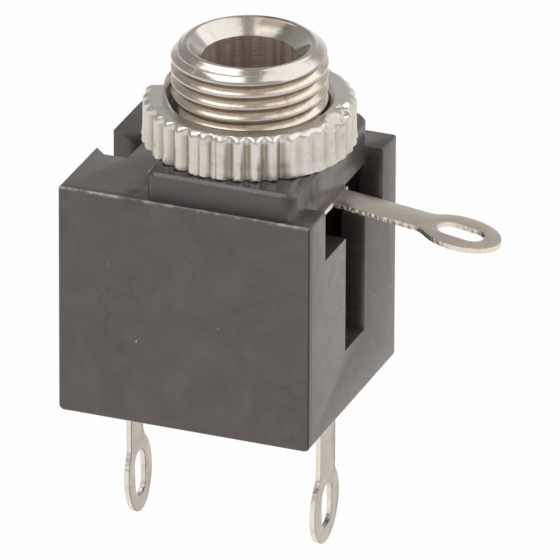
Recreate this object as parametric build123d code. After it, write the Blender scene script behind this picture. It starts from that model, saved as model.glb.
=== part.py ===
from build123d import *
import os
from math import ceil, cos, radians, sin, tan

# Switched mono jack socket for a panel, in millimetres.
# The origin is on the axis of the plug bore, at the top of the boss where a panel seats.
# Z points out of the mouth, X points to the side of the earth lug, and Y points to the back.

# Housing, measured from the bore axis
body_left = 6.0
body_right = 4.25
body_front = 4.6
body_back = 4.6
body_height = 9.4
body_edge_radius = 0.1
body_lower_radius = 0.22
shoulder_drop = 1.1
wall_left = 1.2
wall_right = 0.97
wall_front = 1.1
wall_back = 1.1
roof_underside = 1.8

# Boss that carries the bush
boss_left = 2.55
boss_front_step = 0.24
boss_right_step = 0.73
boss_back_step = 0.8
boss_front_radius = 0.4
boss_back_radius = 0.8
boss_top_edge = 0.12
boss_pad_radius = 3.3

# Upper notch and narrow slot in the right wall
notch_front = 2.95
notch_back = 3.15
notch_depth = 2.05
slot_front = 0.78
slot_back = 1.27
slot_depth = 6.8

# Slot in the left shoulder, with a flared mouth on its near side
left_slot_front = 1.25
left_slot_back = 1.05
left_slot_length = 1.5
left_slot_depth = 2.05
left_slot_flare = 0.53

# Bottom cover
cover_thickness = 0.8
cover_ledge = 0.3
cover_clearance = 0.03
cover_set_in = 0.05
plug_recess_radius = 2.0
plug_recess_depth = 0.4
lug_slot_clearance = 0.05

# Threaded bush
bush_height = 4.0
thread_radius = 3.0
bore_radius = 1.8
crown_radius = 2.45
crown_width = 0.14
mouth_depth = 0.54
thread_lead_in = 0.55
thread_lead_in_bulge = 0.1
thread_pitch = 0.5
thread_depth = 0.25
thread_crest_width = 0.1
thread_root_width = 0.06
thread_run_out = 0.084
stem_radius = 2.3
stem_clearance = 0.02
clinch_radius = 2.75
clinch_thickness = 0.4
clinch_edge = 0.12

# Ring nut
nut_radius = 4.13
nut_height = 1.75
nut_rest_gap = 0.03
nut_thread_clearance = 0.03
nut_mouth_width = 0.23
nut_mouth_depth = 0.2
nut_top_chamfer_width = 0.34
nut_top_chamfer_height = 0.22
nut_bottom_chamfer = 0.05
tooth_count = 37
tooth_phase = -65.3
groove_depth = 0.2
groove_width = 0.36
groove_floor = 0.1

# Contact sheet and solder lugs
sheet = 0.2
eye_length = 3.2
eye_hole_width = 1.05
eye_hole_length = 1.9
eye_blend = 0.7
lug_bend = 2.8
lug_bend_radius = 1.5
lug_lean = 1.8

# Earth contact
earth_left = 3.2
earth_overhang = 0.14
earth_back_step = 0.3
earth_back_ledge = 0.3
earth_end_clearance = 0.1
earth_corner = 0.6
earth_lug_width = 1.3
earth_eye_width = 2.45
earth_eye_shift = -0.12
earth_eye_turn = -4.0
earth_reach = 6.64
earth_droop = 6.6
earth_bend_radius = 0.6
plate_hole_clearance = 0.05

# Tip contact
tip_lug_width = 1.25
tip_eye_width = 2.35
tip_eye_shift = 0.18
tip_eye_turn = 1.0
tip_lug_reach = 6.2
tip_upright_width = 2.4
tip_roof_gap = 1.2
tip_blade_width = 2.0
tip_bend_radius = 0.42
tip_bend_offset = 0.9
tip_knee_offset = 1.45
tip_knee_length = 0.8
tip_tail_offset = 0.9
tip_tail_length = 1.0
tip_tail_gap = 0.65
tip_ear_height = 0.7
tip_ear_end_gap = 0.05

# Switch contact
switch_lug_width = 1.55
switch_eye_width = 2.6
switch_eye_shift = 0.03
switch_eye_turn = 5.0
switch_lug_reach = 6.1
switch_upright_width = 2.4
switch_arm_height = 1.0
switch_arm_gap = 0.35
switch_tab_width = 0.75
switch_bend_radius = 0.3

# Levels and faces that follow from the sizes above
shoulder_level = -shoulder_drop
body_bottom = shoulder_level - body_height
boss_right = body_right - boss_right_step
boss_front = body_front - boss_front_step
boss_back = body_back - boss_back_step
cavity_left = wall_left - body_left
cavity_right = body_right - wall_right
cavity_front = wall_front - body_front
cavity_back = body_back - wall_back
cavity_top = -roof_underside
cover_bottom = body_bottom + cover_set_in
cover_top = cover_bottom + cover_thickness
plate_underside = cavity_top - sheet
lug_bend_level = body_bottom - lug_bend
tip_top = plate_underside - tip_roof_gap
tip_tail_end = cover_top + tip_tail_gap
tip_knee_bottom = tip_tail_end + tip_tail_length
tip_knee_top = tip_knee_bottom + tip_knee_length
ear_middle = (tip_knee_bottom + tip_knee_top) / 2
arm_bottom = ear_middle - switch_arm_height / 2
arm_face = cavity_back - switch_arm_gap - sheet


def block(x_low, x_high, y_low, y_high, z_low, z_high):
    """Box between two corners."""
    width = x_high - x_low
    depth = y_high - y_low
    height = z_high - z_low
    centre = Location((x_low + width / 2, y_low + depth / 2, z_low + height / 2))
    return centre * Box(width, depth, height)


def boss_outline():
    """Plan of the boss: a rounded oblong with a round pad behind the bush."""
    width = boss_left + boss_right
    depth = boss_front + boss_back
    centre = Location(((boss_right - boss_left) / 2, (boss_back - boss_front) / 2))
    oblong = centre * Rectangle(width, depth)
    oblong = fillet(oblong.vertices().group_by(Axis.Y)[0], boss_front_radius)
    oblong = fillet(oblong.vertices().group_by(Axis.Y)[-1], boss_back_radius)
    return oblong + Circle(boss_pad_radius)


def left_slot_cut():
    """Slot in the left shoulder, open to the top and to the left."""
    mouth = -body_left
    end = mouth + left_slot_length
    outline = Polyline(
        (mouth, left_slot_back),
        (end, left_slot_back),
        (end, -left_slot_front),
        (mouth + left_slot_flare, -left_slot_front),
        (mouth, left_slot_flare - left_slot_front),
        close=True,
    )
    floor = shoulder_level - left_slot_depth
    return Location((0, 0, floor)) * extrude(make_face(outline), left_slot_depth)


def make_housing():
    """Moulded box with the boss on its roof, open below, cut for the contacts."""
    body = block(-body_left, body_right, -body_front, body_back, body_bottom, shoulder_level)
    lower_edges = body.faces().sort_by(Axis.Z)[0].edges().filter_by(Axis.Y)
    body = fillet(lower_edges, body_lower_radius)
    front_edges = body.faces().sort_by(Axis.Y)[0].edges()
    back_edges = body.faces().sort_by(Axis.Y)[-1].edges()
    upper_edges = body.faces().sort_by(Axis.Z)[-1].edges().filter_by(Axis.Y)
    body = fillet(front_edges + back_edges + upper_edges, body_edge_radius)

    boss_height = shoulder_drop + body_edge_radius
    boss = Location((0, 0, -boss_height)) * extrude(boss_outline(), boss_height)
    boss = chamfer(boss.faces().sort_by(Axis.Z)[-1].outer_wire().edges(), boss_top_edge)

    chamber = block(
        cavity_left, cavity_right, cavity_front, cavity_back, body_bottom, cavity_top
    )
    cover_seat = block(
        cavity_left,
        cavity_right,
        cavity_front - cover_ledge,
        cavity_back + cover_ledge,
        body_bottom,
        cover_top,
    )
    bush_hole = Location((0, 0, -roof_underside / 2)) * Cylinder(
        stem_radius + stem_clearance, roof_underside
    )

    notch_floor = shoulder_level - notch_depth
    notch = block(
        boss_right, body_right, -notch_front, notch_back, notch_floor, shoulder_level
    )
    plate_way = block(
        cavity_right, boss_right, -notch_front, notch_back, notch_floor, cavity_top
    )
    slot = block(
        cavity_right,
        body_right,
        -slot_front,
        slot_back,
        shoulder_level - slot_depth,
        notch_floor,
    )
    solid = body + boss
    solid = solid - chamber - cover_seat - bush_hole
    return solid - notch - plate_way - slot - left_slot_cut()


def make_bottom_cover():
    """Moulded plate that closes the housing and holds the contacts down."""
    plate = block(
        cavity_left + cover_clearance,
        cavity_right - cover_clearance,
        cavity_front - cover_ledge + cover_clearance,
        cavity_back + cover_ledge - cover_clearance,
        cover_bottom,
        cover_top,
    )
    tip_half = tip_lug_width / 2 + lug_slot_clearance
    tip_slot = block(
        cavity_left,
        cavity_left + sheet + lug_slot_clearance,
        -tip_half,
        tip_half,
        cover_bottom,
        cover_top,
    )
    switch_half = switch_lug_width / 2 + lug_slot_clearance
    switch_slot = block(
        cavity_right - sheet - lug_slot_clearance,
        cavity_right,
        -switch_half,
        switch_half,
        cover_bottom,
        cover_top,
    )
    recess_height = cover_top - plug_recess_depth / 2
    recess = Location((0, 0, recess_height)) * Cylinder(plug_recess_radius, plug_recess_depth)
    return plate - tip_slot - switch_slot - recess


def thread_turn(level):
    """One turn of the thread's groove, from a level on the first axis up by one pitch."""
    helix = Helix(
        pitch=thread_pitch, height=thread_pitch, radius=thread_radius, center=(0, 0, level)
    )
    root_half = thread_root_width / 2
    mouth_half = (thread_pitch - thread_crest_width) / 2
    flank = (mouth_half - root_half) / thread_depth
    over = thread_crest_width / 4 / flank
    outer_half = mouth_half + over * flank
    outline = Polyline(
        (-thread_depth, -root_half),
        (over, -outer_half),
        (over, outer_half),
        (-thread_depth, root_half),
        close=True,
    )
    start = Plane(origin=helix @ 0, x_dir=(1, 0, 0), z_dir=helix % 0)
    return sweep(start * make_face(outline), path=helix, is_frenet=True)


def make_threaded_bush():
    """Turned bush: countersunk mouth, rounded lead in, thread, stem and the clinched foot."""
    foot_top = plate_underside
    foot_bottom = foot_top - clinch_thickness
    crown_edge = (crown_radius + crown_width / 2, bush_height)
    thread_edge = (thread_radius, bush_height - thread_lead_in)
    lead_in = SagittaArc(thread_edge, crown_edge, -thread_lead_in_bulge)
    profile = Polyline(
        crown_edge,
        (crown_radius - crown_width / 2, bush_height),
        (bore_radius, bush_height - mouth_depth),
        (bore_radius, foot_bottom),
        (clinch_radius - clinch_edge, foot_bottom),
        (clinch_radius, foot_bottom + clinch_edge),
        (clinch_radius, foot_top),
        (stem_radius, foot_top),
        (stem_radius, 0),
        (thread_radius, 0),
        thread_edge,
    )
    bush = revolve(make_face(Plane.XZ * (profile + lead_in)), Axis.Z)

    turns = ceil(bush_height / thread_pitch) + 2
    for turn in range(turns):
        bush = bush - thread_turn((turn - 1) * thread_pitch - thread_run_out)
    return bush


def make_knurled_nut():
    """Ring nut with a straight knurl of shallow grooves between broad teeth."""
    bottom = nut_rest_gap
    top = bottom + nut_height
    bore = thread_radius + nut_thread_clearance
    profile = Polyline(
        (bore, bottom),
        (nut_radius - nut_bottom_chamfer, bottom),
        (nut_radius, bottom + nut_bottom_chamfer),
        (nut_radius, top - nut_top_chamfer_height),
        (nut_radius - nut_top_chamfer_width, top),
        (bore + nut_mouth_width, top),
        (bore, top - nut_mouth_depth),
        close=True,
    )
    blank = revolve(make_face(Plane.XZ * profile), Axis.Z)

    groove_outline = Polyline(
        (nut_radius - groove_depth, -groove_floor / 2),
        (nut_radius, -groove_width / 2),
        (nut_radius + groove_depth, -groove_width),
        (nut_radius + groove_depth, groove_width),
        (nut_radius, groove_width / 2),
        (nut_radius - groove_depth, groove_floor / 2),
        close=True,
    )
    groove = Location((0, 0, bottom)) * extrude(make_face(groove_outline), nut_height)
    pitch_angle = 360 / tooth_count
    first_groove = tooth_phase + pitch_angle / 2
    grooves = [Rotation(0, 0, first_groove + i * pitch_angle) * groove for i in range(tooth_count)]
    return blank - grooves


def lug_outline(neck_width, eye_width, eye_shift, eye_turn, total_length):
    """Flat solder lug along its first axis: neck, oval eye and slotted hole."""
    eye_centre = total_length - eye_length / 2
    neck = Location((eye_centre / 2, 0)) * Rectangle(eye_centre, neck_width)
    eye_place = Location((eye_centre, eye_shift)) * Rotation(0, 0, eye_turn)
    outline = neck + eye_place * Ellipse(eye_length / 2, eye_width / 2)
    corners = outline.vertices().filter_by_position(Axis.X, eye_centre / 2, eye_centre)
    outline = fillet(corners, eye_blend)
    return outline - eye_place * SlotOverall(eye_hole_length, eye_hole_width)


def folded_sheet(points, bend_radius, width):
    """Sheet metal strip that follows a bent line in the XZ plane."""
    line = FilletPolyline(*points, radius=bend_radius)
    section = offset(line, amount=sheet / 2, side=Side.BOTH, kind=Kind.INTERSECTION)
    return extrude(Plane.XZ * make_face(section), width / 2, both=True)


def lower_lug(strip_x, inward, reach, neck_width, eye_width, eye_shift, eye_turn):
    """Lug that hangs from the cover and leans inward from a bend above its eye."""
    lug_end = body_bottom - reach
    lean_run = (lug_bend_level - lug_end) * tan(radians(lug_lean))
    line = [
        (strip_x, cover_top),
        (strip_x, lug_bend_level),
        (strip_x + inward * lean_run, lug_end),
    ]
    strip = folded_sheet(line, lug_bend_radius, 2 * eye_width)
    outline_start = Plane(
        origin=(strip_x - sheet - lean_run, 0, cover_top), x_dir=(0, 0, -1), z_dir=(1, 0, 0)
    )
    outline = lug_outline(neck_width, eye_width, eye_shift, eye_turn, cover_top - lug_end)
    return strip & extrude(outline_start * outline, 2 * (sheet + lean_run))


def make_earth_contact():
    """Sleeve contact: plate clamped by the bush, with its lug out of the right notch."""
    level = cavity_top - sheet / 2
    bend_x = boss_right + earth_overhang
    drop = earth_reach * sin(radians(earth_droop))
    run = earth_reach * cos(radians(earth_droop))
    end_x = bend_x + run
    front = notch_front - earth_end_clearance
    back = notch_back - earth_end_clearance
    line = [(-earth_left, level), (bend_x, level), (end_x, level - drop)]
    folded = folded_sheet(line, earth_bend_radius, 2 * max(front, back))

    plate_width = front + back
    plate_length = earth_left + bend_x
    plate_centre = Location(((bend_x - earth_left) / 2, (back - front) / 2))
    plate = plate_centre * Rectangle(plate_length, plate_width)
    plate = chamfer(plate.vertices().group_by(Axis.X)[0], earth_corner)
    ledge_end = earth_lug_width / 2 + earth_back_ledge
    back_step = block(bend_x - earth_back_step, bend_x, ledge_end, back, -sheet, sheet)
    lug_start = Location((bend_x, 0))
    lug = lug_start * lug_outline(
        earth_lug_width, earth_eye_width, earth_eye_shift, earth_eye_turn, run
    )
    strap = lug_start * Rectangle(earth_corner, earth_lug_width)
    stem_hole = Circle(stem_radius + plate_hole_clearance)
    outline = plate - back_step + lug + strap - stem_hole
    depth = roof_underside + sheet + drop
    blank = Location((0, 0, -depth - sheet)) * extrude(outline, depth + sheet)
    return folded & blank


def make_tip_contact():
    """Tip contact: lug, upright on the left wall, and the sprung blade with its ear."""
    upright_x = cavity_left + sheet / 2
    lug = lower_lug(
        upright_x,
        1,
        tip_lug_reach,
        tip_lug_width,
        tip_eye_width,
        tip_eye_shift,
        tip_eye_turn,
    )
    upright = block(
        cavity_left,
        cavity_left + sheet,
        -tip_upright_width / 2,
        tip_upright_width / 2,
        cover_top,
        tip_top - tip_bend_radius,
    )

    ear_end = arm_face - tip_ear_end_gap
    line = [
        (upright_x, tip_top - 2 * tip_bend_radius),
        (upright_x, tip_top),
        (upright_x + tip_bend_offset, tip_top),
        (-tip_knee_offset, tip_knee_top),
        (-tip_knee_offset, tip_knee_bottom),
        (-tip_knee_offset - tip_tail_offset, tip_tail_end),
    ]
    blade = folded_sheet(line, tip_bend_radius, 2 * ear_end)
    blade_half = tip_blade_width / 2
    blade_mask = block(
        cavity_left, 0, -blade_half, blade_half, tip_tail_end - sheet, tip_top + sheet
    )
    ear_mask = block(
        -tip_knee_offset - sheet,
        0,
        0,
        ear_end,
        ear_middle - tip_ear_height / 2,
        ear_middle + tip_ear_height / 2,
    )
    return lug + upright + (blade & (blade_mask + ear_mask))


def make_switch_contact():
    """Switch contact: lug, upright on the right wall, and the arm that meets the ear."""
    outer_x = cavity_right
    inner_x = cavity_right - sheet
    middle_x = cavity_right - sheet / 2
    lug = lower_lug(
        middle_x,
        -1,
        switch_lug_reach,
        switch_lug_width,
        switch_eye_width,
        switch_eye_shift,
        switch_eye_turn,
    )
    half = switch_upright_width / 2
    upright = block(inner_x, outer_x, -half, half, cover_top, arm_bottom)

    arm_y = arm_face + sheet / 2
    tab_x = -tip_knee_offset + sheet
    line = [
        (middle_x, half - sheet),
        (middle_x, arm_y),
        (tab_x, arm_y),
        (tab_x, arm_y - switch_tab_width),
    ]
    path = FilletPolyline(*line, radius=switch_bend_radius)
    section = offset(path, amount=sheet / 2, side=Side.BOTH, kind=Kind.INTERSECTION)
    arm = Location((0, 0, arm_bottom)) * extrude(make_face(section), switch_arm_height)
    riser = block(inner_x, outer_x, half - 2 * sheet, half, cover_top, arm_bottom + sheet)
    return lug + upright + riser + arm


os.makedirs("parts", exist_ok=True)
pieces = {
    "housing": make_housing(),
    "bottom_cover": make_bottom_cover(),
    "threaded_bush": make_threaded_bush(),
    "knurled_nut": make_knurled_nut(),
    "earth_contact": make_earth_contact(),
    "tip_contact": make_tip_contact(),
    "switch_contact": make_switch_contact(),
}
for name, piece in pieces.items():
    piece.label = name
    export_step(piece, f"parts/{name}.step")
    print(name, len(piece.solids()), round(piece.volume, 3))
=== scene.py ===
"""Looks of a switched panel jack socket: moulded housing, nickel bush and nut, tinned lugs."""
import logging
import math
import random
from dataclasses import dataclass
from enum import Enum, IntEnum
from typing import Sequence

import bmesh
import bpy
from mathutils import Matrix, Vector, noise
from mathutils.bvhtree import BVHTree


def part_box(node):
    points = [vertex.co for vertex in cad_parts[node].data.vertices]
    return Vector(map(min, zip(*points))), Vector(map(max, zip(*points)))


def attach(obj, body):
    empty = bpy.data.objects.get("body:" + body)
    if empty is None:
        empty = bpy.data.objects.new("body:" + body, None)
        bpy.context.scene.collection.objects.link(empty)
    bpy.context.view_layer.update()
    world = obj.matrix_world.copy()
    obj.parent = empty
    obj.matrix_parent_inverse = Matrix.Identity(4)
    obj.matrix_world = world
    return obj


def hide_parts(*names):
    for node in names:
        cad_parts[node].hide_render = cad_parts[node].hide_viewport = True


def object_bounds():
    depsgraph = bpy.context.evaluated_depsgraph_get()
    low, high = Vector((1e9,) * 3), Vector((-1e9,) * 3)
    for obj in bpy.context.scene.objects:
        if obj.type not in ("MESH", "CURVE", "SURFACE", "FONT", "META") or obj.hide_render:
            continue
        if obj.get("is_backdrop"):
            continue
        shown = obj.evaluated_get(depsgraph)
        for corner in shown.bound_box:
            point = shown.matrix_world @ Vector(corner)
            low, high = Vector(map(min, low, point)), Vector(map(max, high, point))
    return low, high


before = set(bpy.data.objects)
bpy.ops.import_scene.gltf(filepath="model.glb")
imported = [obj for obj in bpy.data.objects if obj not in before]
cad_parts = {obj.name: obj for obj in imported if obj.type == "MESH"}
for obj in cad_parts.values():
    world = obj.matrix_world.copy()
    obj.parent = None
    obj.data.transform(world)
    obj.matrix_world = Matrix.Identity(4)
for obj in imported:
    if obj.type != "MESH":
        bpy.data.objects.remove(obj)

MM = 0.001
SHARP_CAD_EDGE = math.radians(32)
FLAT_CAD_EDGE = math.radians(1.0)
COPY_SEGMENTS = 2
CAD_WELD = 0.0005 * MM
PIECE_WELD = 0.0004 * MM
ROUNDED_CREASE = 40
TURNED_CREASE = 32
FIRST_COLOUR = 6
SECOND_COLOUR = 7
MIXED_COLOUR = 2
LOG = logging.getLogger("jack_socket")

BMesh = bmesh.types.BMesh
Material = bpy.types.Material
Socket = bpy.types.NodeSocket
Colour = tuple[float, float, float]
Point = tuple[float, float, float]
Pair = tuple[float, float]
Profile = list[Pair]
Inputs = dict[str | int, Socket | float | Point | tuple[float, float, float, float]]


class Body(Enum):
    """Bodies of the socket that pieces ride on."""

    SOCKET = "socket"
    NUT = "nut"


class Grain(Enum):
    """Direction in which a tool left its fine lines on the metal."""

    TURNED = (0.04, 0.04, 1.0)
    UPRIGHT = (1.0, 1.0, 0.06)
    ROLLED = (1.0, 0.12, 0.12)
    TORN = (1.0, 1.0, 1.0)


class SheetPart(IntEnum):
    """Finish numbers of a folded contact."""

    BROAD = 0
    CUT = 1
    CREASE = 2


class BushPart(IntEnum):
    """Finish numbers of the bush."""

    OUTSIDE = 0
    BORE = 1
    FLANK = 2
    ROOT = 3


class NutPart(IntEnum):
    """Finish numbers of the ring nut."""

    RING = 0
    STRUCK = 1


def linear(red: int, green: int, blue: int) -> Colour:
    """Turns a screen colour, with channels from 0 to 255, into the linear values that a shader takes."""
    parts = (red / 255, green / 255, blue / 255)
    return tuple(part / 12.92 if part <= 0.04045 else ((part + 0.055) / 1.055) ** 2.4 for part in parts)


def polar(vert: bmesh.types.BMVert) -> Pair:
    """Radius and angle of a vertex about the bore's axis."""
    return math.hypot(vert.co.x, vert.co.y), math.atan2(vert.co.y, vert.co.x)


def set_radius(vert: bmesh.types.BMVert, radius: float) -> None:
    """Moves a vertex along its own radius about the bore's axis."""
    scale = radius / math.hypot(vert.co.x, vert.co.y)
    vert.co = (vert.co.x * scale, vert.co.y * scale, vert.co.z)


def spun(mesh: BMesh, profile: Profile, steps: int, closed: bool) -> None:
    """Turns a profile once about the bore's axis.

    Args:
        mesh: Mesh that receives the surface.
        profile: Points as radius and height, in metres.
        steps: Steps in the full turn.
        closed: Whether the last point joins the first.
    """
    verts = [mesh.verts.new((radius, 0.0, height)) for radius, height in profile]
    edges = [mesh.edges.new(pair) for pair in zip(verts, verts[1:])]
    if closed:
        edges.append(mesh.edges.new((verts[-1], verts[0])))
    bmesh.ops.spin(
        mesh, geom=verts + edges, cent=(0, 0, 0), axis=(0, 0, 1), angle=math.tau,
        steps=steps, use_merge=True,
    )


def finished(mesh: BMesh, name: str, crease: float) -> bpy.types.Object:
    """Closes a mesh up, points its faces outwards and makes its object.

    Args:
        mesh: Mesh to hand over, which is freed.
        name: Name of the piece.
        crease: Angle in degrees above which an edge shows as sharp.

    Returns:
        The new object, at the origin.
    """
    bmesh.ops.remove_doubles(mesh, verts=mesh.verts, dist=PIECE_WELD)
    bmesh.ops.recalc_face_normals(mesh, faces=mesh.faces)
    for face in mesh.faces:
        face.smooth = True
    data = bpy.data.meshes.new(name)
    mesh.to_mesh(data)
    mesh.free()
    data.set_sharp_from_angle(angle=math.radians(crease))
    piece = bpy.data.objects.new(name, data)
    bpy.context.scene.collection.objects.link(piece)
    return piece


def rounded(
    mesh: BMesh, edges: Sequence[bmesh.types.BMEdge], width: float, segments: int
) -> Sequence[bmesh.types.BMFace]:
    """Rounds edges of a mesh.

    Args:
        mesh: Mesh to change.
        edges: Edges to round.
        width: Width of the rounding, in metres.
        segments: Strips across the rounding.

    Returns:
        The faces of the rounding.
    """
    result = bmesh.ops.bevel(
        mesh, geom=edges, offset=width, offset_type="OFFSET", segments=segments, profile=0.5,
        affect="EDGES", clamp_overlap=True, material=-1,
    )
    return result["faces"]


def softened_copy(node: str, name: str, width: float, edge_finish: int = 0) -> bpy.types.Object:
    """Copies a CAD node and rounds its sharp edges.

    Args:
        node: Name of the CAD node.
        name: Name of the new piece.
        width: Width of the rounding, in metres.
        edge_finish: Number of the finish on the rounding.

    Returns:
        The new object.
    """
    mesh = bmesh.new()
    mesh.from_mesh(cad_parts[node].data)
    bmesh.ops.remove_doubles(mesh, verts=mesh.verts, dist=CAD_WELD)
    bmesh.ops.dissolve_limit(
        mesh, angle_limit=FLAT_CAD_EDGE, verts=mesh.verts, edges=mesh.edges, use_dissolve_boundaries=False
    )
    sharp = [edge for edge in mesh.edges if edge.is_manifold and edge.calc_face_angle() > SHARP_CAD_EDGE]
    for face in rounded(mesh, sharp, width, COPY_SEGMENTS):
        face.material_index = edge_finish
    return finished(mesh, name, ROUNDED_CREASE)


class Nodes:
    """Short calls for the nodes of one tree."""

    def __init__(self, tree: bpy.types.NodeTree) -> None:
        """Keeps the tree."""
        self.tree = tree

    def add(self, kind: str, inputs: Inputs | None = None, **settings: str | bool) -> bpy.types.Node:
        """Adds a node.

        Args:
            kind: Kind of the node.
            inputs: Sockets or values for its inputs, by name or number.
            settings: Values of its own options.

        Returns:
            The node.
        """
        node = self.tree.nodes.new(kind)
        for name, value in settings.items():
            setattr(node, name, value)
        for name, value in (inputs or {}).items():
            if isinstance(value, Socket):
                self.tree.links.new(value, node.inputs[name])
            else:
                node.inputs[name].default_value = value
        return node

    def maths(self, operation: str, first: Socket, second: Socket | float, clamp: bool = False) -> Socket:
        """Result of an operation on a value and on a second value or number, kept from 0 to 1 by clamp."""
        inputs = {0: first, 1: second}
        return self.add("ShaderNodeMath", inputs, operation=operation, use_clamp=clamp).outputs["Value"]

    def mixed(self, share: Socket, first: Socket, second: Socket) -> Socket:
        """Shader that goes from the first to the second as the share grows."""
        return self.add("ShaderNodeMixShader", {"Fac": share, 1: first, 2: second}).outputs["Shader"]

    def ranged(
        self, value: Socket, low: float, high: float, out_low: float = 0, out_high: float = 1
    ) -> Socket:
        """Maps a value from one range to another and holds it inside."""
        inputs = {"Value": value, "From Min": low, "From Max": high, "To Min": out_low, "To Max": out_high}
        return self.add("ShaderNodeMapRange", inputs).outputs["Result"]

    def blended(self, share: Socket, first: Colour | Socket, second: Colour) -> Socket:
        """Blends two colours.

        Args:
            share: Share of the second, from 0 to 1.
            first: First colour.
            second: Second colour.

        Returns:
            The blended colour.
        """
        start = first if isinstance(first, Socket) else (*first, 1)
        inputs = {"Factor": share, FIRST_COLOUR: start, SECOND_COLOUR: (*second, 1)}
        return self.add("ShaderNodeMix", inputs, data_type="RGBA").outputs[MIXED_COLOUR]


class Finish(Nodes):
    """Node tree of one material, with short calls for the patterns that the finishes share."""

    def __init__(self, name: str, colour: Colour, metallic: float, roughness: float) -> None:
        """Starts a material with one Principled shader.

        Args:
            name: Name of the material.
            colour: Linear base colour.
            metallic: 1 for metal and 0 for plastic.
            roughness: Roughness before the pattern changes it.
        """
        self.material = bpy.data.materials.new(name)
        self.material.use_nodes = True
        super().__init__(self.material.node_tree)
        self.shader = self.tree.nodes["Principled BSDF"]
        self.shader.inputs["Base Color"].default_value = (*colour, 1)
        self.shader.inputs["Metallic"].default_value = metallic
        self.shader.inputs["Roughness"].default_value = roughness
        self.material.diffuse_color = (*colour, 1)
        self.place = self.add("ShaderNodeTexCoord").outputs["Object"]

    def stretched(self, scale: Point) -> Socket:
        """Object coordinates scaled along each axis."""
        return self.add("ShaderNodeMapping", {"Vector": self.place, "Scale": scale}).outputs["Vector"]

    def noise(
        self, size: float, detail: float = 3, distortion: float = 0, place: Socket | None = None
    ) -> Socket:
        """Cloudy pattern.

        Args:
            size: Size of its spots, in metres.
            detail: Levels of finer spots.
            distortion: How much it swirls.
            place: Coordinates, or the object's own.

        Returns:
            The pattern from 0 to 1.
        """
        inputs = {"Scale": 1 / size, "Detail": detail, "Distortion": distortion}
        inputs["Vector"] = place or self.place
        return self.add("ShaderNodeTexNoise", inputs).outputs["Fac"]

    def along(self, axis: str) -> Socket:
        """One of the object coordinates, in metres."""
        return self.add("ShaderNodeSeparateXYZ", {0: self.place}).outputs[axis]

    def reach(self) -> Socket:
        """Distance from the bore's axis, in metres."""
        level = self.stretched((1.0, 1.0, 0.0))
        return self.add("ShaderNodeVectorMath", {0: level}, operation="LENGTH").outputs["Value"]

    def spot(self, middle: Point, inner: float, outer: float) -> Socket:
        """Mask that is 1 round a point and fades to 0.

        Args:
            middle: The point, in metres.
            inner: Radius up to which the mask is 1.
            outer: Radius at which it has faded.

        Returns:
            The mask.
        """
        node = self.add("ShaderNodeVectorMath", {0: self.place, 1: middle}, operation="DISTANCE")
        return self.ranged(node.outputs["Value"], inner, outer, 1, 0)

    def band(self, value: Socket, middle: float, half: float) -> Socket:
        """Mask that is 1 where a pattern has the middle value and fades over half the band on each side."""
        rise = self.ranged(value, middle - half, middle)
        return self.times(rise, self.ranged(value, middle, middle + half, 1, 0))

    def times(self, first: Socket, second: Socket) -> Socket:
        """Product of two patterns."""
        return self.maths("MULTIPLY", first, second)

    def larger(self, first: Socket, second: Socket) -> Socket:
        """Larger of two patterns."""
        return self.maths("MAXIMUM", first, second)

    def give(self, name: str, value: Socket) -> None:
        """Joins a value to that input of the shader."""
        self.tree.links.new(value, self.shader.inputs[name])

    def bumped(self, heights: Sequence[tuple[Socket, float]]) -> None:
        """Stacks bump patterns.

        Args:
            heights: Each pattern with its depth in metres.
        """
        normal = None
        for height, depth in heights:
            inputs = {"Height": height, "Strength": 1.0, "Distance": depth}
            if normal is not None:
                inputs["Normal"] = normal
            normal = self.add("ShaderNodeBump", inputs).outputs["Normal"]
        self.give("Normal", normal)


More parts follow.
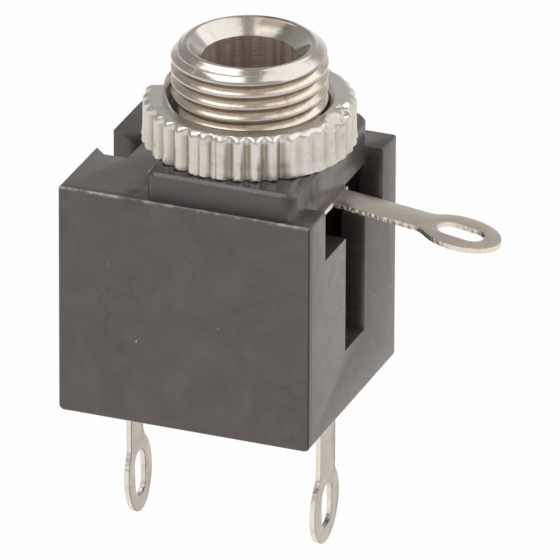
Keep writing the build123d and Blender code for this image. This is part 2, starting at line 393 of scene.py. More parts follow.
@dataclass(frozen=True)
class MouldedPlastic:
    """Black plastic with a fine moulded grain, flow swirls and lines, pale scuffs, and painted shade round
    the boss, where it is also rougher.
    """

    name: str = "moulded_black"
    colour: Colour = linear(63, 58, 57)
    swirl: Colour = linear(75, 70, 68)
    flow: Colour = linear(46, 43, 43)
    # Colour of the painted shade at the foot of the boss, on the case's front right corner and beside the
    # boss.
    shade: Colour = linear(30, 28, 28)
    scuff: Colour = linear(172, 167, 161)
    sheen: Colour = (1.0, 0.95, 0.96)
    roughness: float = 0.26
    gloss: Pair = (0.22, 0.31)
    front_edge: float = -1.1 * MM
    front_face: float = -4.6 * MM
    right_face: float = 4.25 * MM
    boss_face: float = -4.36 * MM
    edge_width: Pair = (0.04 * MM, 0.12 * MM)
    corner_width: Pair = (0.05 * MM, 0.085 * MM)
    dull_roughness: float = 0.62
    # Patches of painted shade: at the boss's front right corner, on its right side and on the shoulder left
    # of it.
    shade_patches: tuple[tuple[Point, float, float], ...] = (
        ((0.0033, -0.00436, -0.0003), 0.2 * MM, 0.5 * MM),
        ((0.00352, -0.0025, -0.0008), 0.3 * MM, 1.3 * MM),
        ((-0.00285, -0.0041, -0.0011), 0.2 * MM, 0.9 * MM),
        ((-0.00285, -0.0028, -0.0011), 0.3 * MM, 0.9 * MM),
    )

    def painted_shade(self, finish: Finish) -> Socket:
        """Mask of painted shade: the foot of the boss front, the front right corner of the case and patches
        round the boss.

        Args:
            finish: Finish that the mask's nodes go into.

        Returns:
            The mask.
        """
        # Painted shade at the foot of the boss front, darker towards the bottom.
        foot = finish.times(
            finish.band(finish.along("Y"), self.boss_face, 0.06 * MM),
            finish.ranged(finish.along("Z"), -0.95 * MM, -0.35 * MM, 1, 0),
        )
        # Painted dark reflection along the case's front right corner.
        near, far = self.corner_width
        corner = finish.times(
            finish.ranged(finish.along("X"), self.right_face - far, self.right_face - near),
            finish.ranged(finish.along("Y"), self.front_face + 0.1 * MM, self.front_face + 0.06 * MM),
        )
        # Noise that breaks up the patches of painted shade round the boss.
        patches = finish.ranged(finish.noise(0.5 * MM, 3), 0.35, 0.6, 0.3, 1)
        masks = [foot, corner]
        for middle, inner, outer in self.shade_patches:
            masks.append(finish.times(finish.spot(middle, inner, outer), patches))
        total = masks[0]
        for mask in masks[1:]:
            total = finish.larger(total, mask)
        return total

    def material(self) -> Material:
        """Builds the material."""
        finish = Finish(self.name, self.colour, 0, self.roughness)
        finish.shader.inputs["Specular IOR Level"].default_value = 1.0
        finish.shader.inputs["Specular Tint"].default_value = (*self.sheen, 1)
        swirls = finish.noise(2.2 * MM, 4, 1.6)
        colour = finish.blended(finish.ranged(swirls, 0.4, 0.68), self.colour, self.swirl)
        lines = finish.band(finish.noise(3.4 * MM, 2, 1.2), 0.5, 0.03)
        parts = finish.ranged(finish.noise(2.6 * MM, 2), 0.42, 0.66, 0.12, 0.7)
        colour = finish.blended(finish.times(lines, parts), colour, self.flow)
        marks = finish.ranged(finish.noise(0.16 * MM, 2), 0.68, 0.76)
        zones = finish.ranged(finish.noise(1.7 * MM, 2), 0.56, 0.7)
        colour = finish.blended(finish.times(marks, zones), colour, self.scuff)
        near, far = self.edge_width
        edge = finish.times(
            finish.ranged(finish.along("Z"), self.front_edge - far, self.front_edge - near),
            finish.ranged(finish.along("Y"), self.front_face + far, self.front_face + near),
        )
        worn = finish.ranged(finish.noise(0.55 * MM, 3), 0.46, 0.62, 0.1, 0.9)
        colour = finish.blended(finish.times(edge, worn), colour, self.scuff)
        # Painted shade darkens the colour here; the same mask also raises the roughness.
        painted_shade = self.painted_shade(finish)
        finish.give("Base Color", finish.blended(painted_shade, colour, self.shade))
        gloss = finish.ranged(finish.noise(1.1 * MM, 4, 0.8), 0.3, 0.7, *self.gloss)
        finish.give("Roughness", finish.larger(gloss, finish.ranged(painted_shade, 0, 1, 0.2, self.dull_roughness)))
        finish.bumped([(finish.noise(0.07 * MM, 2), 0.0016 * MM), (finish.noise(0.9 * MM, 3), 0.004 * MM)])
        return finish.material


@dataclass(frozen=True)
class PlatedMetal:
    """Nickel or tin plating over brass, with tool lines, warm stains and small pits; some finishes also
    carry painted shade, in a patch where a lamp's reflection is dimmer and in the knurl grooves.
    """

    name: str
    colour: Colour
    stain: Colour
    roughness: Pair
    grain: Grain = Grain.TURNED
    line_size: float = 0.05 * MM
    line_depth: float = 0.0012 * MM
    metallic: float = 1.0
    # Patch of painted shade where a lamp's reflection is dimmer, with its radii and colour.
    reflection_shade_spot: Point | None = None
    reflection_shade_radii: Pair = (0.5 * MM, 0.95 * MM)
    reflection_shade_colour: Colour = linear(118, 108, 96)
    streak: Colour | None = None
    pit_depth: float = 0.002 * MM
    # Colour of the painted shade in the knurl grooves, with the reach and height inside which it falls.
    groove_shade: Colour | None = None
    valley_reach: Pair = (3.87 * MM, 4.03 * MM)
    valley_top: Pair = (1.46 * MM, 1.54 * MM)

    def material(self) -> Material:
        """Builds the material."""
        finish = Finish(self.name, self.colour, self.metallic, self.roughness[0])
        clouds = finish.ranged(finish.noise(1.3 * MM, 4, 0.6), 0.35, 0.7)
        spots = finish.ranged(finish.noise(0.22 * MM, 3), 0.45, 0.7, 0.2, 1)
        colour = finish.blended(finish.times(clouds, spots), self.colour, self.stain)
        # Painted shade: darkens the colour round a point, in streaks along the grain, where the reflection
        # is dimmer.
        if self.reflection_shade_spot is not None:
            streaks = finish.noise(0.3 * MM, 3, 0, finish.stretched(self.grain.value))
            painted_shade = finish.times(
                finish.spot(self.reflection_shade_spot, *self.reflection_shade_radii), finish.ranged(streaks, 0.35, 0.6, 0.35, 1)
            )
            colour = finish.blended(painted_shade, colour, self.reflection_shade_colour)
        if self.streak is not None:
            upright = finish.noise(0.42 * MM, 2, 0, finish.stretched(Grain.UPRIGHT.value))
            turned = finish.noise(0.09 * MM, 2, 0, finish.stretched(Grain.TURNED.value))
            both = finish.larger(
                finish.ranged(upright, 0.42, 0.58), finish.ranged(turned, 0.5, 0.62, 0, 0.7)
            )
            colour = finish.blended(both, colour, self.streak)
        # Painted shade low in the knurl grooves, below the rounded top edge.
        if self.groove_shade is not None:
            low = finish.ranged(finish.reach(), *self.valley_reach, 1, 0)
            under = finish.ranged(finish.along("Z"), *self.valley_top, 1, 0)
            colour = finish.blended(finish.times(low, under), colour, self.groove_shade)
        finish.give("Base Color", colour)
        finish.give("Roughness", finish.ranged(clouds, 0, 1, *self.roughness))
        lines = finish.noise(self.line_size, 2, 0, finish.stretched(self.grain.value))
        pits = finish.ranged(finish.noise(0.12 * MM, 1), 0.2, 0.33)
        finish.bumped([(lines, self.line_depth), (pits, self.pit_depth)])
        return finish.material


# Warm bright nickel of the bush, with fine turning lines and a patch of painted shade on the far side of
# the countersink, where a lamp's reflection is dimmer.
TURNED_NICKEL = PlatedMetal(
    name="turned_nickel", colour=linear(206, 202, 196), stain=linear(188, 177, 163),
    roughness=(0.15, 0.24), reflection_shade_spot=(0.00015, 0.00215, 0.00375),
)

# Duller tan nickel on the sides of the thread.
THREAD_FLANK = PlatedMetal(
    name="thread_flank", colour=linear(218, 209, 197), stain=linear(186, 172, 155),
    roughness=(0.18, 0.27),
)

# Dark brown, rougher bottom of the thread; the brown is painted shade of the thread's roots.
THREAD_ROOT = PlatedMetal(
    name="thread_root", colour=linear(142, 127, 110), stain=linear(108, 93, 77),
    line_depth=0.001 * MM, roughness=(0.35, 0.5), metallic=0.7,
)

# Tin of the two lower contacts: the earth contact's tin painted darker, standing in for the darker
# reflection they catch.
SHADED_TIN_LUG = PlatedMetal(
    name="shaded_tinned_lug", colour=linear(190, 186, 177), stain=linear(160, 153, 142),
    grain=Grain.ROLLED, line_size=0.1 * MM, roughness=(0.24, 0.36),
)

# Painted shade on the rounding where a broad face turns into a cut edge, which is also rougher there.
CREASE_SHADE = PlatedMetal(
    name="crease_shade", colour=linear(126, 117, 103), stain=linear(104, 95, 82),
    grain=Grain.TORN, line_size=0.1 * MM, line_depth=0.004 * MM, roughness=(0.4, 0.5),
)

# Torn cut edge of the tinned sheet, with rough bumps; its colour is painted paler than the tin as a painted
# highlight for the glints of its burrs.
SHEARED_EDGE = PlatedMetal(
    name="sheared_edge", colour=linear(240, 234, 225), stain=linear(214, 205, 192),
    grain=Grain.TORN, line_size=0.17 * MM, line_depth=0.05 * MM, roughness=(0.3, 0.45),
)

# Brown, barely plated metal inside the bore.
DULL_BORE = PlatedMetal(
    name="dull_bore", colour=linear(214, 199, 185), stain=linear(207, 192, 177),
    line_size=0.06 * MM, line_depth=0.003 * MM, roughness=(0.26, 0.38), metallic=0.45,
    streak=linear(174, 159, 145), pit_depth=0.0003 * MM,
)

# Paler satin nickel of the ring nut, with upright rolling lines and painted shade low in the knurl grooves.
SATIN_NICKEL = PlatedMetal(
    name="satin_nickel", colour=linear(220, 218, 213), stain=linear(198, 193, 185),
    grain=Grain.UPRIGHT, line_size=0.07 * MM, line_depth=0.002 * MM, roughness=(0.27, 0.37),
    groove_shade=linear(178, 169, 156),
)

# Lumpy matt nickel where the ring nut was struck.
SMEARED_NICKEL = PlatedMetal(
    name="smeared_nickel", colour=linear(204, 201, 193), stain=linear(168, 162, 151),
    grain=Grain.TORN, line_size=0.26 * MM, line_depth=0.04 * MM, roughness=(0.42, 0.56),
)

# Grey satin tin of the earth contact, with faint rolling lines.
TINNED_SHEET = PlatedMetal(
    name="tinned_sheet", colour=linear(216, 209, 199), stain=linear(202, 192, 180),
    grain=Grain.ROLLED, line_size=0.1 * MM, line_depth=0.0008 * MM, roughness=(0.24, 0.36),
)


@dataclass
class ThreadedBush:
    """Turned bush with its rolled thread, lead-in, countersunk mouth and clinched foot."""

    pitch: float = 0.5 * MM
    depth: float = 0.25 * MM
    crest_share: float = 0.2
    root_share: float = 0.12
    steps: int = 144
    thread_bottom: float = 0.3 * MM
    crest_height: float = 3.57 * MM
    crest_angle: float = math.radians(-68.8)
    lead_in_start: float = 3.43 * MM
    lead_in_end: float = 3.93 * MM
    lead_in_bulge: float = 0.115 * MM
    crown_radius: float = 2.44 * MM
    crown_half: float = 0.14 * MM
    crown_steps: int = 6
    bore_radius: float = 1.8 * MM
    mouth_depth: float = 0.54 * MM
    stem_radius: float = 2.3 * MM
    foot_radius: float = 2.75 * MM
    foot_rounding: float = 0.12 * MM
    roof: float = 1.8 * MM
    sheet: float = 0.2 * MM
    ridge_angle: float = math.radians(25)
    ridge_rounding: float = 0.028 * MM
    ridge_segments: int = 3
    lead_in_steps: int = 8
    height_step: float = 0.002 * MM
    run_out: float = 0.01 * MM
    mouth_edge: Pair = (0.03 * MM, 0.02 * MM)
    weld: float = 0.001 * MM
    bore_skin: float = 0.005 * MM
    crest_skin: float = 0.06 * MM
    root_skin: float = 0.02 * MM
    flank_share: float = 0.76

    def __post_init__(self) -> None:
        """Takes the outer sizes from the CAD node."""
        low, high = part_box("threaded_bush")
        self.top = high[2]
        self.bottom = low[2]
        self.radius = high[0]

    def lead_in(self, height: float) -> float:
        """Radius of the rounded lead-in.

        Args:
            height: Height in metres.

        Returns:
            The radius there, which is the thread's own below the lead-in.
        """
        share = (height - self.lead_in_start) / (self.lead_in_end - self.lead_in_start)
        if share <= 0:
            return self.radius
        end = self.crown_radius + self.crown_half
        return self.radius + (end - self.radius) * share + 4 * self.lead_in_bulge * share * (1 - share)

    def thread_top(self) -> float:
        """Height at which the lead-in has cut the thread away."""
        height = self.lead_in_start
        while self.lead_in(height) > self.radius - self.depth - self.run_out:
            height += self.height_step
        return height

    def thread_band(self) -> BMesh:
        """Makes the thread by a spin that climbs one pitch in each turn.

        Returns:
            A band that is open at its level top and bottom.
        """
        mesh = bmesh.new()
        root = self.radius - self.depth
        crest_half = self.crest_share * self.pitch / 2
        root_half = self.root_share * self.pitch / 2
        turns = math.ceil(self.top / self.pitch) + 2
        verts = []
        for turn in range(-1, turns):
            middle = self.crest_height + (turn - turns + 2) * self.pitch
            for radius, offset in (
                (root, root_half - self.pitch / 2),
                (self.radius, -crest_half),
                (self.radius, crest_half),
                (root, self.pitch / 2 - root_half),
            ):
                verts.append(mesh.verts.new((radius, 0, middle + offset)))
        edges = [mesh.edges.new(pair) for pair in zip(verts, verts[1:])]
        turn = Matrix.Rotation(self.crest_angle, 3, "Z")
        bmesh.ops.rotate(mesh, verts=verts, cent=(0, 0, 0), matrix=turn)
        bmesh.ops.spin(
            mesh, geom=verts + edges, cent=(0, 0, 0), axis=(0, 0, 1), angle=math.tau,
            dvec=(0, 0, self.pitch / self.steps), steps=self.steps, use_merge=False,
        )
        bmesh.ops.remove_doubles(mesh, verts=mesh.verts, dist=self.weld)
        inner = [edge for edge in mesh.edges if edge.is_manifold]
        ridges = [edge for edge in inner if edge.calc_face_angle() > self.ridge_angle]
        rounded(mesh, ridges, self.ridge_rounding, self.ridge_segments)
        for vert in mesh.verts:
            radius, _ = polar(vert)
            set_radius(vert, min(radius, self.lead_in(vert.co.z)))
        for height, side in ((self.thread_top(), 1), (self.thread_bottom, -1)):
            bmesh.ops.bisect_plane(
                mesh, geom=mesh.verts[:] + mesh.edges[:] + mesh.faces[:], dist=0.00001 * MM,
                plane_co=(0, 0, height), plane_no=(0, 0, side), clear_outer=True,
            )
        return mesh

    def profile(self) -> Profile:
        """Profile of all but the thread, from above it through the bore to below it.

        Returns:
            Points as radius and height, in metres.
        """
        top = self.thread_top()
        crown = self.crown_radius
        half = self.crown_half
        points = [(self.lead_in(top), top)]
        for index in range(1, self.lead_in_steps + 1):
            height = top + (self.lead_in_end - top) * index / self.lead_in_steps
            points.append((self.lead_in(height), height))
        drop = self.top - self.lead_in_end
        for index in range(1, 2 * self.crown_steps + 1):
            share = 1 - index / self.crown_steps
            points.append((crown + half * share, self.top - drop * share * share))
        mouth = self.top - self.mouth_depth
        wide, high = self.mouth_edge
        points += [(self.bore_radius + wide, mouth + high), (self.bore_radius, mouth - high)]
        seat = -self.roof - self.sheet
        points += [
            (self.bore_radius, self.bottom),
            (self.foot_radius - self.foot_rounding, self.bottom),
            (self.foot_radius, self.bottom + self.foot_rounding),
            (self.foot_radius, seat),
            (self.stem_radius, seat),
            (self.stem_radius, 0),
            (self.radius - self.depth, 0),
            (self.radius - self.depth, self.thread_bottom),
        ]
        return points

    def build(self) -> bpy.types.Object:
        """Joins the thread to the turned body.

        Returns:
            The piece, without its finishes.
        """
        mesh = self.thread_band()
        spun(mesh, self.profile(), self.steps, False)
        rim = [edge for edge in mesh.edges if edge.is_boundary]
        near = self.height_step
        for height in (self.thread_top(), self.thread_bottom):
            loops = [edge for edge in rim if all(abs(vert.co.z - height) < near for vert in edge.verts)]
            bmesh.ops.bridge_loops(mesh, edges=loops)
        return finished(mesh, "bush_with_thread", TURNED_CREASE)

    def zone(self, centre: Vector) -> int:
        """Tells which part of the bush a face belongs to.

        Args:
            centre: Middle of the face.

        Returns:
            Number of the part's finish.
        """
        reach = math.hypot(centre.x, centre.y)
        if reach < self.bore_radius + self.bore_skin:
            return BushPart.BORE
        depth = min(self.radius, self.lead_in(centre.z)) - reach
        if not self.thread_bottom < centre.z < self.thread_top():
            return BushPart.OUTSIDE
        if not self.crest_skin < depth < self.depth + self.root_skin:
            return BushPart.OUTSIDE
        return BushPart.FLANK if depth < self.depth * self.flank_share else BushPart.ROOT

    def dress(self, finishes: Sequence[Material]) -> None:
        """Builds the piece, gives it its finishes and puts it in the node's place.

        Args:
            finishes: Finishes of the outside, the bore, the thread's sides and its root.
        """
        piece = self.build()
        for material in finishes:
            piece.data.materials.append(material)
        for face in piece.data.polygons:
            face.material_index = self.zone(face.center)
        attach(piece, Body.SOCKET.value)
        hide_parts("threaded_bush")


@dataclass
class RingNut:
    """Ring nut with broad teeth, dented at the camera's right and pressed down at its far left."""

    away: Vector
    right: Vector
    radius: float = 4.13 * MM
    teeth: int = 37
    teeth_before: int = 18
    samples: int = 18
    groove_depth: float = 0.22 * MM
    worn_depth: float = 0.11 * MM
    worn_degrees: Pair = (-50.0, 75.0)
    worn_fade: float = 8.0
    crest_degrees: float = 1.5
    flank_degrees: float = 3.0
    flare: float = 0.05 * MM
    flare_height: float = 0.42 * MM
    crown: float = 0.03 * MM
    first_tooth: float = -65.3
    slipped: tuple[int, ...] = (-7, -6, -5, -4)
    slip_degrees: float = 2.4
    usual_slip: float = 0.6
    usual_width: Pair = (0.8, 1.2)
    extra_ridges: tuple[float, ...] = (-110.3, -99.2, -88.7)
    extra_degrees: float = 0.7
    extra_drop: float = 0.05 * MM
    bore_radius: float = 3.03 * MM
    mouth_radius: float = 3.26 * MM
    mouth_depth: float = 0.2 * MM
    mouth_bend: Pair = (0.1 * MM, 0.11 * MM)
    mouth_skin: float = 0.01 * MM
    top_width: float = 0.34 * MM
    top_height: float = 0.22 * MM
    top_flatness: float = 0.3
    top_steps: int = 12
    side_levels: int = 18
    flat_rings: int = 11
    bottom_chamfer: float = 0.05 * MM
    bottom_bulge: float = 0.004 * MM
    bottom_ring: float = 0.35 * MM
    lump: float = 0.007 * MM
    lump_margin: float = 0.3 * MM
    lumps_per_metre: float = 2600
    burr: float = 0.11 * MM
    burrs_per_metre: float = 2400
    burr_zone: Pair = (0.1 * MM, 0.2 * MM)
    seed: int = 11
    dent_degrees: float = -12.0
    dent_facing: float = -34.0
    dent_slope: float = 52.0
    dent_reach: float = 0.52 * MM
    dent_inset: float = 0.22 * MM
    dent_drop: float = 0.14 * MM
    dent_depth: float = 0.16 * MM
    dent_fade: float = 0.07 * MM
    struck_share: float = 0.88
    struck_height: float = 0.1 * MM
    swellings: tuple[tuple[float, float, float, float, float], ...] = (
        (6.6, 3.74 * MM, 1.75 * MM, 0.24 * MM, 0.2 * MM),
        (4.1, 3.49 * MM, 1.75 * MM, 0.17 * MM, 0.14 * MM),
        (-6.2, 4.02 * MM, 1.6 * MM, 0.2 * MM, 0.15 * MM),
        (-12.6, 4.02 * MM, 1.42 * MM, 0.2 * MM, 0.14 * MM),
        (-0.5, 3.95 * MM, 1.7 * MM, 0.26 * MM, -0.22 * MM),
    )
    lift: Pair = (0.5, 0.87)
    pressed: Point = (0.005, -0.648, 0.762)
    pressed_share: float = 0.55
    pressed_fade: float = 0.25
    lip_degrees: Pair = (-125.0, -155.0)
    lip_end: float = -195.0
    lip_fade: float = 12.0
    lip_height: float = 0.42 * MM
    chip_depth: float = 0.9 * MM
    chip_side: float = 2.95 * MM
    chip_fade: float = 0.2 * MM
    chip_slope: float = 0.53

    def __post_init__(self) -> None:
        """Takes the outer sizes from the CAD node and places the teeth."""
        low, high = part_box("knurled_nut")
        self.bottom = low[2]
        self.top = high[2]
        self.flat_radius = self.radius - self.top_width
        angle = math.radians(self.dent_degrees)
        facing = math.radians(self.dent_facing)
        slope = math.radians(self.dent_slope)
        level = math.cos(slope)
        reach = self.radius - self.dent_inset
        self.dent_normal = Vector((math.cos(facing) * level, math.sin(facing) * level, math.sin(slope)))
        height = self.top - self.dent_drop
        self.dent_centre = Vector((math.cos(angle) * reach, math.sin(angle) * reach, height))
        chance = random.Random(self.seed)
        pitch = 360 / self.teeth
        self.crests = []
        for tooth in range(-self.teeth_before, self.teeth - self.teeth_before):
            usual = self.usual_slip
            slip = self.slip_degrees if tooth in self.slipped else chance.uniform(-usual, usual)
            width = self.crest_degrees * chance.uniform(*self.usual_width)
            self.crests.append((self.first_tooth + tooth * pitch + slip, width, 0.0))
        self.crests += [(angle, self.extra_degrees, self.extra_drop) for angle in self.extra_ridges]

    def groove(self, angle: float) -> float:
        """Depth of the knurl, which is least on the crests.

        Args:
            angle: Angle about the bore's axis, in degrees.

        Returns:
            The depth in metres.
        """
        start, end = self.worn_degrees
        fade = self.worn_fade
        worn = min(max((angle - start) / fade, 0), 1) * min(max((end - angle) / fade, 0), 1)
        deepest = self.groove_depth + (self.worn_depth - self.groove_depth) * worn
        depth = deepest
        for middle, width, drop in self.crests:
            across = abs((angle - middle + 180) % 360 - 180)
            if across > width + self.flank_degrees:
                continue
            share = max(across - width, 0) / self.flank_degrees
            rounding = self.crown * min(across / width, 1) ** 2
            fall = (deepest - self.crown - drop) * (0.7 * share + 0.3 * share * share * (3 - 2 * share))
            depth = min(depth, drop + rounding + fall)
        return depth

    def profile(self) -> Profile:
        """Closed profile of the blank ring, with extra levels on its outer face.

        Returns:
            Points as radius and height, in metres.
        """
        edge = self.bottom_chamfer
        points = [
            (self.bore_radius, self.bottom),
            (self.radius - self.bottom_ring, self.bottom),
            (self.radius - edge, self.bottom),
            (self.radius - edge / 2 + self.bottom_bulge, self.bottom + edge / 2),
            (self.radius, self.bottom + edge),
        ]
        low = self.bottom + edge
        high = self.top - self.top_height
        levels = self.side_levels
        points += [(self.radius, low + (high - low) * index / levels) for index in range(1, levels)]
        for index in range(self.top_steps + 1):
            share = index / self.top_steps
            turn = math.pi / 2 * share
            out = math.cos(turn) + (1 - share - math.cos(turn)) * self.top_flatness
            rise = math.sin(turn) + (share - math.sin(turn)) * self.top_flatness
            points.append((self.flat_radius + self.top_width * out, high + self.top_height * rise))
        flat = self.flat_radius - self.mouth_radius
        rings = self.flat_rings
        points += [(self.flat_radius - flat * index / rings, self.top) for index in range(1, rings + 1)]
        out, drop = self.mouth_bend
        points += [(self.bore_radius + out, self.top - drop)]
        points += [(self.bore_radius, self.top - self.mouth_depth)]
        return points

    def knurled(self, mesh: BMesh) -> None:
        """Cuts the knurl, which runs out over the rounded top edge.

        Args:
            mesh: Mesh of the blank ring.
        """
        high = self.top - self.top_height
        for vert in mesh.verts:
            radius, angle = polar(vert)
            rise = min((vert.co.z - self.bottom) / self.flare_height, 1)
            limit = self.radius - self.groove(math.degrees(angle)) - self.flare * rise
            if vert.co.z > high and radius > self.flat_radius:
                share = (radius - self.flat_radius) / self.top_width
                set_radius(vert, self.flat_radius + (limit - self.flat_radius) * share)
            elif radius > limit:
                set_radius(vert, limit)
            if radius > self.mouth_radius + self.lump_margin:
                vert.co += vert.co.normalized() * self.lump * noise.noise(vert.co * self.lumps_per_metre)

    def from_dent(self, place: Vector) -> Pair:
        """Distance of a point from the dent's middle.

        Args:
            place: The point.

        Returns:
            Distance along the dent's face, and out of it.
        """
        offset = place - self.dent_centre
        height = offset.dot(self.dent_normal)
        return (offset - self.dent_normal * height).length, height

    def dented(self, mesh: BMesh) -> None:
        """Smears the struck corner flat and raises small burrs and swellings round it.

        Args:
            mesh: Mesh of the nut.
        """
        near, high = self.burr_zone
        for vert in mesh.verts:
            across, height = self.from_dent(vert.co)
            if across < self.dent_reach and height > -self.dent_depth:
                share = min((self.dent_reach - across) / self.dent_fade, 1)
                vert.co -= self.dent_normal * height * share
            if abs(across - self.dent_reach) < near and abs(height) < high:
                bumps = max(0, noise.noise(vert.co * self.burrs_per_metre))
                vert.co += self.dent_normal * self.burr * bumps
        pressed = Vector(self.pressed)
        out, up = self.lift
        for degrees, reach, height, width, rise in self.swellings:
            angle = math.radians(degrees)
            middle = Vector((math.cos(angle) * reach, math.sin(angle) * reach, height))
            lift = Vector((math.cos(angle) * out, math.sin(angle) * out, up)) * rise
            limit = (middle + lift * self.pressed_share).dot(pressed)
            for vert in mesh.verts:
                share = (vert.co - middle).length / width
                if share < 1:
                    vert.co += lift * (1 - share * share) ** 2
                    over = max(vert.co.dot(pressed) - limit, 0)
                    vert.co -= pressed * over * min((1 - share) / self.pressed_fade, 1)

    def chipped(self, mesh: BMesh) -> None:
        """Presses the far left corner down and leaves a raised lip at the mouth beside it.

        Args:
            mesh: Mesh of the nut.
        """
        start, full = self.lip_degrees
        for vert in mesh.verts:
            radius, angle = polar(vert)
            turn = math.degrees(angle)
            turn = turn - 360 if turn > 0 else turn
            above = vert.co.z - self.top + self.mouth_depth
            if radius < self.mouth_radius + self.mouth_skin and above > -self.mouth_skin:
                rise = min(max((start - turn) / (start - full), 0), 1)
                rise *= min(max((turn - self.lip_end) / self.lip_fade, 0), 1)
                share = 0.5 + 0.5 * above / self.mouth_depth
                vert.co.z += self.lip_height * rise * rise * (3 - 2 * rise) * share
                continue
            behind = max(vert.co.dot(self.away) - self.chip_depth, 0)
            side = min(max((-vert.co.dot(self.right) - self.chip_side) / self.chip_fade, 0), 1)
            squeeze = behind * self.chip_slope * side / (self.top - self.bottom)
            vert.co.z -= (vert.co.z - self.bottom) * squeeze

    def build(self) -> bpy.types.Object:
        """Spins the ring, cuts the knurl into it and damages it as the photograph shows.

        Returns:
            The piece, without its finishes.
        """
        mesh = bmesh.new()
        spun(mesh, self.profile(), self.teeth * self.samples, True)
        self.knurled(mesh)
        self.dented(mesh)
        self.chipped(mesh)
        for vert in mesh.verts:
            set_radius(vert, min(polar(vert)[0], self.radius))
        return finished(mesh, "ring_nut_knurled", TURNED_CREASE)

    def zone(self, centre: Vector) -> int:
        """Tells whether a face is part of the struck corner.

        Args:
            centre: Middle of the face.

        Returns:
            Number of the part's finish.
        """
        across, height = self.from_dent(centre)
        struck = across < self.dent_reach * self.struck_share and abs(height) < self.struck_height
        return NutPart.STRUCK if struck else NutPart.RING

    def dress(self, finishes: Sequence[Material]) -> None:
        """Builds the piece, gives it its finishes and puts it in the node's place.

        Args:
            finishes: Finishes of the ring and of its struck corner.
        """
        piece = self.build()
        for material in finishes:
            piece.data.materials.append(material)
        for face in piece.data.polygons:
            face.material_index = self.zone(face.center)
        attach(piece, Body.NUT.value)
        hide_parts("knurled_nut")


@dataclass
class SheetContacts:
    """Folded contacts, with the rounded edges of punched and plated sheet."""

    edge: float = 0.03 * MM
    thickest: float = 0.27 * MM
    skin: float = 0.001 * MM

    def mark_cut(self, data: bpy.types.Mesh) -> None:
        """Tells cut edges from broad faces, which have another broad face just behind them.

        Args:
            data: Mesh of the contact, with its creases marked already.
        """
        data.calc_loop_triangles()
        largest = {}
        for triangle in data.loop_triangles:
            held = largest.get(triangle.polygon_index)
            if held is None or triangle.area > held.area:
                largest[triangle.polygon_index] = triangle
        places = [vert.co for vert in data.vertices]
        tree = BVHTree.FromPolygons(places, [triangle.vertices for triangle in data.loop_triangles])
        for face in data.polygons:
            if face.material_index == SheetPart.CREASE:
                continue
            triangle = largest[face.index]
            middle = sum((places[index] for index in triangle.vertices), Vector()) / 3
            far = tree.ray_cast(middle - triangle.normal * self.skin, -triangle.normal)[3]
            cut = far is None or far > self.thickest
            face.material_index = SheetPart.CUT if cut else SheetPart.BROAD

    def dress(self, node: str, finishes: Sequence[Material]) -> None:
        """Rounds one contact and gives its parts their finishes.

        Args:
            node: Name of the CAD node.
            finishes: Finishes of the broad faces, the cut edges and the creases between them.
        """
        piece = softened_copy(node, node.replace("contact", "strip"), self.edge, SheetPart.CREASE)
        for material in finishes:
            piece.data.materials.append(material)
        self.mark_cut(piece.data)
        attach(piece, Body.SOCKET.value)
        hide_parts(node)


@dataclass
class MouldedCase:
    """Housing and bottom cover, with the small radii that a mould leaves."""

    edge: float = 0.035 * MM

    def dress(self, material: Material) -> None:
        """Rounds both mouldings and gives them their finish.

        Args:
            material: Finish of both.
        """
        piece = softened_copy("housing", "case_moulding", self.edge)
        piece.data.materials.append(material)
        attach(piece, Body.SOCKET.value)
        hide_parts("housing")
        cover = softened_copy("bottom_cover", "cover_moulding", self.edge)
        cover.data.materials.append(material)
        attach(cover, Body.SOCKET.value)
        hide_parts("bottom_cover")


@dataclass(frozen=True)
class Softbox:
    """Soft lamp over the object, tilted to one side as seen by the camera."""

    name: str
    tilt: float
    width: float
    depth: float
    shift: float
    radiance: float
    distance: float = 0.32

    def place(self, away: Vector, right: Vector) -> None:
        """Makes the lamp and turns it to the object.

        Args:
            away: Level direction from the camera to the object.
            right: Level direction to the camera's right.
        """
        lean = math.radians(self.tilt)
        direction = right * math.sin(lean) + Vector((0, 0, math.cos(lean)))
        across = direction.cross(away)
        lamp = bpy.data.lights.new(self.name, "AREA")
        lamp.shape = "RECTANGLE"
        lamp.size = self.width
        lamp.size_y = self.depth
        lamp.energy = self.radiance * math.pi * self.width * self.depth
        holder = bpy.data.objects.new(self.name, lamp)
        turn = Matrix((-across, away, direction)).transposed().to_4x4()
        place = direction * self.distance + away * self.shift
        holder.matrix_world = Matrix.Translation(place) @ turn
        holder.visible_camera = False
        bpy.context.scene.collection.objects.link(holder)


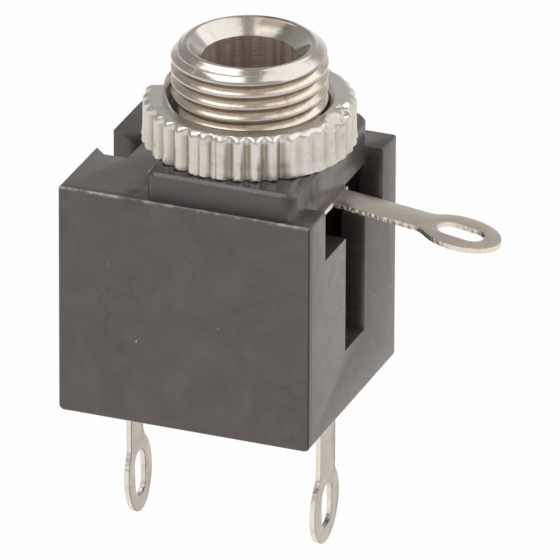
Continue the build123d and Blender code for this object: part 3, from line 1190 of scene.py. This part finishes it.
@dataclass(frozen=True)
class Studio:
    """Pale floor, soft lamps, surroundings and the camera at the photograph's angle."""

    floor_drop: float = 7.0 * MM
    floor_size: float = 4.0
    floor_paint: Colour = (0.9, 0.9, 0.9)
    floor_glow: Colour = (1.0, 1.0, 1.0)
    warm_glow: Colour = (1.0, 0.955, 0.915)
    glow_share: float = 0.95
    ramp: tuple[tuple[float, Colour], ...] = (
        (0.02, (0.95, 0.95, 0.94)),
        (0.3, (0.58, 0.565, 0.545)),
        (0.95, (0.4, 0.38, 0.355)),
    )
    dark_side: Point = (-0.973, 0.156, 0.17)
    dark_range: Pair = (0.5, 0.85)
    dark_strength: float = 0.72
    camera_right: Point = (0.93137, 0.36408, 0.00416)
    camera_up: Point = (-0.15973, 0.39830, 0.90324)
    camera_back: Point = (0.32719, -0.84191, 0.42911)
    camera_place: Point = (0.16554, -0.42269, 0.20967)
    lens: float = 845.4
    sensor: float = 36.0

    def directions(self) -> tuple[Vector, Vector]:
        """Level directions away from the camera and to its right."""
        away = -Vector((self.camera_back[0], self.camera_back[1], 0)).normalized()
        return away, Vector((away.y, -away.x, 0))

    def camera(self) -> None:
        """Sets the camera that was fitted to the photograph."""
        data = bpy.data.cameras.new("camera")
        data.lens = self.lens
        data.sensor_width = self.sensor
        data.sensor_fit = "HORIZONTAL"
        data.clip_start = 0.01
        data.clip_end = 10
        view = bpy.data.objects.new("camera", data)
        turn = Matrix((self.camera_right, self.camera_up, self.camera_back)).transposed()
        view.matrix_world = Matrix.Translation(self.camera_place) @ turn.to_4x4()
        bpy.context.scene.collection.objects.link(view)
        bpy.context.scene.camera = view

    def floor(self, lowest: float) -> None:
        """Lays the pale floor under the object.

        Args:
            lowest: Height of the object's lowest point.
        """
        mesh = bmesh.new()
        bmesh.ops.create_grid(mesh, x_segments=1, y_segments=1, size=self.floor_size / 2)
        bmesh.ops.translate(mesh, verts=mesh.verts, vec=(0, 0, lowest - self.floor_drop))
        floor = finished(mesh, "floor", ROUNDED_CREASE)
        material = bpy.data.materials.new("pale_floor")
        material.use_nodes = True
        nodes = Nodes(material.node_tree)
        nodes.tree.nodes.clear()
        rays = nodes.add("ShaderNodeLightPath").outputs
        tint = nodes.blended(rays["Is Glossy Ray"], self.floor_glow, self.warm_glow)
        seen = nodes.maths("ADD", rays["Is Camera Ray"], rays["Is Glossy Ray"])
        seen = nodes.maths("ADD", seen, rays["Is Transmission Ray"], clamp=True)
        share = nodes.maths("MULTIPLY", seen, self.glow_share)
        paint = nodes.add("ShaderNodeBsdfDiffuse", {"Color": (*self.floor_paint, 1)}).outputs[0]
        glow = nodes.add("ShaderNodeEmission", {"Color": tint}).outputs[0]
        nodes.add("ShaderNodeOutputMaterial", {"Surface": nodes.mixed(share, paint, glow)})
        floor.data.materials.append(material)
        floor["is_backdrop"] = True

    def surroundings(self) -> None:
        """Room light: white to the camera, and to metal a pale room that darkens upwards."""
        world = bpy.data.worlds.new("studio")
        bpy.context.scene.world = world
        world.use_nodes = True
        nodes = Nodes(world.node_tree)
        nodes.tree.nodes.clear()
        place = nodes.add("ShaderNodeTexCoord").outputs["Generated"]
        height = nodes.add("ShaderNodeSeparateXYZ", {0: place}).outputs["Z"]
        ramp = nodes.add("ShaderNodeValToRGB", {"Fac": height})
        stops = ramp.color_ramp.elements
        stops.new(self.ramp[-1][0])
        for stop, (position, colour) in zip(stops, self.ramp):
            stop.position = position
            stop.color = (*colour, 1)
        side = nodes.add("ShaderNodeVectorMath", {0: place, 1: self.dark_side}, operation="DOT_PRODUCT")
        strength = nodes.ranged(side.outputs["Value"], *self.dark_range, 1.0, self.dark_strength)
        inputs = {"Color": ramp.outputs["Color"], "Strength": strength}
        room = nodes.add("ShaderNodeBackground", inputs).outputs[0]
        white = nodes.add("ShaderNodeBackground", {"Color": (1, 1, 1, 1)}).outputs[0]
        seen = nodes.add("ShaderNodeLightPath").outputs["Is Camera Ray"]
        nodes.add("ShaderNodeOutputWorld", {"Surface": nodes.mixed(seen, room, white)})

    def build(self, lowest: float) -> None:
        """Builds the whole studio round the object.

        Args:
            lowest: Height of the object's lowest point.
        """
        away, right = self.directions()
        left = Softbox("left_softbox", tilt=-24, width=0.19, depth=0.34, shift=-0.05, radiance=1.6)
        left.place(away, right)
        other = Softbox("right_softbox", tilt=40, width=0.34, depth=0.44, shift=0.0, radiance=0.95)
        other.place(away, right)
        self.floor(lowest)
        self.surroundings()
        self.camera()
        bpy.context.scene.view_settings.view_transform = "Standard"


def main() -> None:
    """Builds the studio and the pieces in order and reports each one."""
    logging.basicConfig(level=logging.INFO)
    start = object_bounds()
    studio = Studio()
    studio.build(start[0][2])
    away, right = studio.directions()
    LOG.info("studio ready")
    MouldedCase().dress(MouldedPlastic().material())
    LOG.info("case_moulding and cover_moulding done")
    bush_metals = (TURNED_NICKEL, DULL_BORE, THREAD_FLANK, THREAD_ROOT)
    ThreadedBush().dress([metal.material() for metal in bush_metals])
    LOG.info("bush_with_thread done")
    RingNut(away, right).dress([metal.material() for metal in (SATIN_NICKEL, SMEARED_NICKEL)])
    LOG.info("ring_nut_knurled done")
    # The crease finish is painted shade; the cut edge finish is painted paler as a highlight.
    cut, crease = SHEARED_EDGE.material(), CREASE_SHADE.material()
    SheetContacts().dress("earth_contact", (TINNED_SHEET.material(), cut, crease))
    # The lower contacts get a darker, shaded copy of the earth contact's tin.
    lower = SHADED_TIN_LUG.material()
    for node in ("tip_contact", "switch_contact"):
        SheetContacts().dress(node, (lower, cut, crease))
    LOG.info("earth_strip, tip_strip and switch_strip done")


if __name__ == "__main__":
    main()
